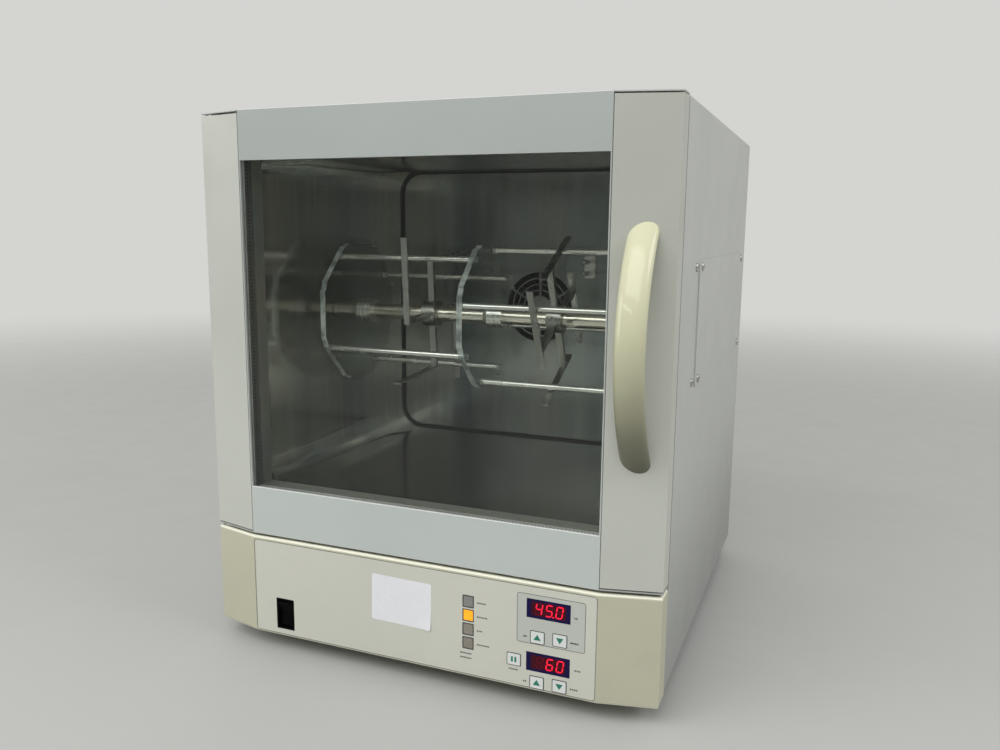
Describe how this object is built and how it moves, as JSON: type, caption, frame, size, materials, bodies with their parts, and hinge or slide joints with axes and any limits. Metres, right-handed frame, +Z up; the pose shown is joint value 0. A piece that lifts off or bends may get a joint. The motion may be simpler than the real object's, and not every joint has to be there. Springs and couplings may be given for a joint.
{
  "type": "hybridization oven",
  "caption": "Bench oven with a glazed side-hinged door, a rounded arch handle, a carousel of clear octagonal plates in a steel chamber and a front panel with displays and keys.",
  "frame": {"origin": "on the table, under the middle of the oven's outside box", "axes": "+Z up, the door and the control panel face -Y, +X to the right as seen from the front"},
  "size_m": [0.4226, 0.4593, 0.4833],
  "materials": {
    "cabinet_paint": "satin",
    "door_paint": "satin",
    "column_plastic": "fine satin",
    "bezel_plastic": "fine satin",
    "overlay_film": "satin film",
    "handle_plastic": "gloss",
    "chamber_steel": "brushed",
    "plated_steel": "zinc plated",
    "polished_steel": "polished",
    "screw_steel": "plated",
    "window_glass": "tinted, clear",
    "clear_plastic": "clear, polished edges",
    "dark_plastic": "matte",
    "black_gloss": "gloss",
    "black_rubber": "matte",
    "display_lens": "gloss",
    "lamp_lens": "satin",
    "button_cap": "satin",
    "circuit_board": "matte",
    "insulation": "matte wool",
    "motor_housing": "cast",
    "bearing_bronze": "sintered",
    "magnet": "ground"
  },
  "bodies": {
    "case": {"case_wrap": "cabinet_paint", "side_hatch": "cabinet_paint", "rear_panel": "cabinet_paint", "case_screws": "screw_steel", "base_pan": "plated_steel", "rubber_feet": "black_rubber", "divider_shelf": "plated_steel", "front_bezel": "bezel_plastic", "control_overlay": "overlay_film", "display_modules": "display_lens", "status_lamps": "lamp_lens", "control_board": "circuit_board", "switch_housing": "black_gloss", "power_supply": "circuit_board", "power_inlet": "dark_plastic", "face_frame": "chamber_steel", "chamber_liner": "chamber_steel", "chamber_back": "chamber_steel", "back_wall_seal": "black_rubber", "fan_plenum": "plated_steel", "heater_ring": "chamber_steel", "fan_motor": "motor_housing", "temperature_probes": "polished_steel", "shaft_bearings": "bearing_bronze", "drive_motor": "motor_housing", "motor_bracket": "plated_steel", "drive_belt": "black_rubber", "insulation_jacket": "insulation", "hinge_leaves": "plated_steel", "strike_plates": "plated_steel"},
    "door": {"door_panel": "door_paint", "left_column": "column_plastic", "right_column": "column_plastic", "door_pan": "cabinet_paint", "window_tunnel": "dark_plastic", "outer_glass": "window_glass", "inner_glass": "window_glass", "glass_spacer": "motor_housing", "door_gasket": "black_rubber", "door_handle": "handle_plastic", "handle_screws": "screw_steel", "door_magnets": "magnet", "pivot_bushes": "bearing_bronze"},
    "rotor": {"rotor_shaft": "polished_steel", "left_plate": "clear_plastic", "middle_plate": "clear_plastic", "right_plate": "clear_plastic", "end_disc": "dark_plastic", "plate_hubs": "polished_steel", "carrier_rods": "polished_steel", "spring_clips": "polished_steel", "shaft_pulley": "motor_housing"},
    "drive_pulley": {"motor_pulley": "motor_housing"},
    "fan": {"fan_impeller": "motor_housing"},
    "rocker": {"power_rocker": "black_gloss"},
    "temp_up_key": {"temp_up_button": "button_cap"},
    "temp_down_key": {"temp_down_button": "button_cap"},
    "speed_up_key": {"speed_up_button": "button_cap"},
    "speed_down_key": {"speed_down_button": "button_cap"},
    "pause_key": {"pause_button": "button_cap"}
  },
  "joints": [
    {"name": "door_hinge", "type": "hinge", "parent": "case", "child": "door", "pos_m": [-0.199, -0.1806, 0.2968], "axis": [0, 0, -1], "range_deg": [0, 115]},
    {"name": "rotor_spin", "type": "hinge", "parent": "case", "child": "rotor", "pos_m": [0.003, -0.0426, 0.303], "axis": [1, 0, 0], "continuous": true},
    {"name": "motor_spin", "type": "hinge", "parent": "case", "child": "drive_pulley", "pos_m": [0.188, 0.1774, 0.303], "axis": [1, 0, 0], "continuous": true},
    {"name": "fan_spin", "type": "hinge", "parent": "case", "child": "fan", "pos_m": [0.005, 0.1324, 0.3], "axis": [0, 1, 0], "continuous": true},
    {"name": "rocker_tilt", "type": "hinge", "parent": "case", "child": "rocker", "pos_m": [-0.13, -0.1906, 0.03775], "axis": [-1, 0, 0], "range_deg": [0, 16]},
    {"name": "temp_up_press", "type": "slide", "parent": "case", "child": "temp_up_key", "axis": [0, 1, 0], "range_m": [0, 0.0008], "stiffness_N_per_m": 300},
    {"name": "temp_down_press", "type": "slide", "parent": "case", "child": "temp_down_key", "axis": [0, 1, 0], "range_m": [0, 0.0008], "stiffness_N_per_m": 300},
    {"name": "speed_up_press", "type": "slide", "parent": "case", "child": "speed_up_key", "axis": [0, 1, 0], "range_m": [0, 0.0008], "stiffness_N_per_m": 300},
    {"name": "speed_down_press", "type": "slide", "parent": "case", "child": "speed_down_key", "axis": [0, 1, 0], "range_m": [0, 0.0008], "stiffness_N_per_m": 300},
    {"name": "pause_press", "type": "slide", "parent": "case", "child": "pause_key", "axis": [0, 1, 0], "range_m": [0, 0.0008], "stiffness_N_per_m": 300}
  ],
  "couplings": [
    {"joint": "motor_spin", "follows": "rotor_spin", "ratio": 2}
  ]
}
